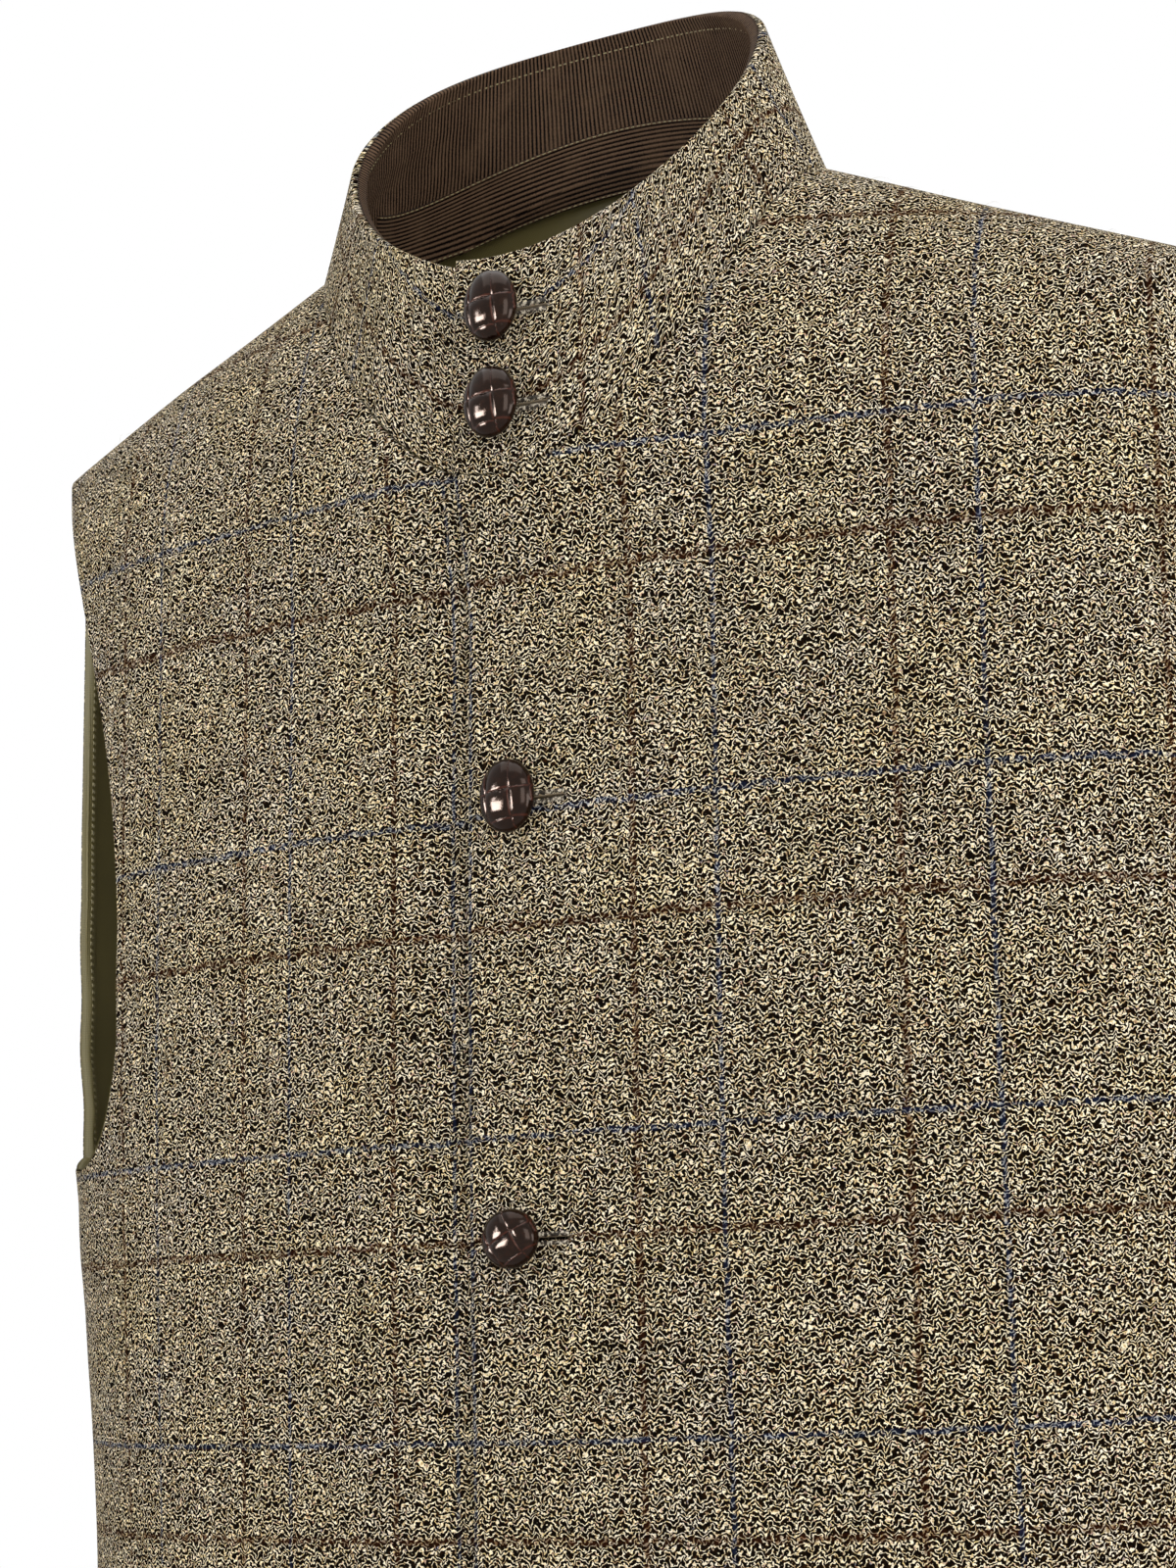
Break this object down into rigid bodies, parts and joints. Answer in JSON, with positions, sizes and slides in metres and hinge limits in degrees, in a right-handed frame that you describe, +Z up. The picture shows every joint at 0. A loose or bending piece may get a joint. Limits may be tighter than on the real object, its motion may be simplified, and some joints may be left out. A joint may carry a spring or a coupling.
{
  "type": "tweed gilet",
  "caption": "Sleeveless tweed gilet with a buttoned stand collar, lapped front, flap pockets, corduroy collar facing and plain lining, in its worn shape.",
  "frame": {"origin": "middle of the hem, on the surface that the hem stands on", "axes": "+Z up from the hem to the collar, -Y out of the buttoned front, +X towards the wearer's left"},
  "size_m": [0.4292, 0.2506, 0.779],
  "materials": {
    "tweed": "woven wool twill with a brown and blue check",
    "lining": "plain matt olive",
    "corduroy": "ribbed pile",
    "canvas": "plain weave",
    "leather": "polished, woven strips",
    "thread": "twisted thread"
  },
  "bodies": {
    "gilet": {"front_left": "tweed", "front_right": "tweed", "back_panel": "tweed", "front_facing_left": "tweed", "front_facing_right": "tweed", "collar_outer": "tweed", "pocket_left": "tweed", "pocket_right": "tweed", "lining_front_left": "lining", "lining_front_right": "lining", "lining_back": "lining", "armhole_facing_left": "lining", "armhole_facing_right": "lining", "collar_facing": "corduroy", "back_neck_facing": "corduroy", "collar_interlining": "canvas", "buttonhole_stitching": "thread"},
    "shank_1": {"button_shank_1": "thread"},
    "button_1": {"button_1": "leather"},
    "shank_2": {"button_shank_2": "thread"},
    "button_2": {"button_2": "leather"},
    "shank_3": {"button_shank_3": "thread"},
    "button_3": {"button_3": "leather"},
    "shank_4": {"button_shank_4": "thread"},
    "button_4": {"button_4": "leather"},
    "shank_5": {"button_shank_5": "thread"},
    "button_5": {"button_5": "leather"},
    "shank_6": {"button_shank_6": "thread"},
    "button_6": {"button_6": "leather"},
    "flap_left": {"pocket_flap_left": "tweed"},
    "flap_right": {"pocket_flap_right": "tweed"}
  },
  "joints": [
    {"name": "shank_1_tilt", "type": "hinge", "parent": "gilet", "child": "shank_1", "pos_m": [0, -0.06772, 0.63619], "axis": [0, 0.1047, 0.9945], "range_deg": [-10, 10], "stiffness_Nm_per_rad": 0.0005},
    {"name": "button_1_turn", "type": "hinge", "parent": "shank_1", "child": "button_1", "pos_m": [0, -0.07279, 0.63672], "axis": [0, -0.9945, 0.1047], "range_deg": [-30, 30], "stiffness_Nm_per_rad": 0.0003},
    {"name": "shank_2_tilt", "type": "hinge", "parent": "gilet", "child": "shank_2", "pos_m": [0, -0.07116, 0.60354], "axis": [0, 0.1047, 0.9945], "range_deg": [-10, 10], "stiffness_Nm_per_rad": 0.0005},
    {"name": "button_2_turn", "type": "hinge", "parent": "shank_2", "child": "button_2", "pos_m": [0, -0.07623, 0.60407], "axis": [0, -0.9945, 0.1047], "range_deg": [-30, 30], "stiffness_Nm_per_rad": 0.0003},
    {"name": "shank_3_tilt", "type": "hinge", "parent": "gilet", "child": "shank_3", "pos_m": [0, -0.07239, 0.47546], "axis": [0, 0.1051, 0.9945], "range_deg": [-10, 10], "stiffness_Nm_per_rad": 0.0005},
    {"name": "button_3_turn", "type": "hinge", "parent": "shank_3", "child": "button_3", "pos_m": [0, -0.07746, 0.476], "axis": [0, -0.9945, 0.1051], "range_deg": [-30, 30], "stiffness_Nm_per_rad": 0.0003},
    {"name": "shank_4_tilt", "type": "hinge", "parent": "gilet", "child": "shank_4", "pos_m": [0, -0.08489, 0.33662], "axis": [0, 0.0739, 0.9973], "range_deg": [-10, 10], "stiffness_Nm_per_rad": 0.0005},
    {"name": "button_4_turn", "type": "hinge", "parent": "shank_4", "child": "button_4", "pos_m": [0, -0.08998, 0.337], "axis": [0, -0.9973, 0.0739], "range_deg": [-30, 30], "stiffness_Nm_per_rad": 0.0003},
    {"name": "shank_5_tilt", "type": "hinge", "parent": "gilet", "child": "shank_5", "pos_m": [0, -0.09476, 0.19764], "axis": [0, 0.0708, 0.9975], "range_deg": [-10, 10], "stiffness_Nm_per_rad": 0.0005},
    {"name": "button_5_turn", "type": "hinge", "parent": "shank_5", "child": "button_5", "pos_m": [0, -0.09985, 0.198], "axis": [0, -0.9975, 0.0708], "range_deg": [-30, 30], "stiffness_Nm_per_rad": 0.0003},
    {"name": "shank_6_tilt", "type": "hinge", "parent": "gilet", "child": "shank_6", "pos_m": [0, -0.10439, 0.05865], "axis": [0, 0.0685, 0.9976], "range_deg": [-10, 10], "stiffness_Nm_per_rad": 0.0005},
    {"name": "button_6_turn", "type": "hinge", "parent": "shank_6", "child": "button_6", "pos_m": [0, -0.10948, 0.059], "axis": [0, -0.9976, 0.0685], "range_deg": [-30, 30], "stiffness_Nm_per_rad": 0.0003},
    {"name": "flap_left_lift", "type": "hinge", "parent": "gilet", "child": "flap_left", "pos_m": [0.11257, -0.09002, 0.21014], "axis": [-0.9691, -0.2465, 0], "range_deg": [0, 110]},
    {"name": "flap_right_lift", "type": "hinge", "parent": "gilet", "child": "flap_right", "pos_m": [-0.11257, -0.09002, 0.21014], "axis": [-0.9691, 0.2465, 0], "range_deg": [0, 110]}
  ]
}
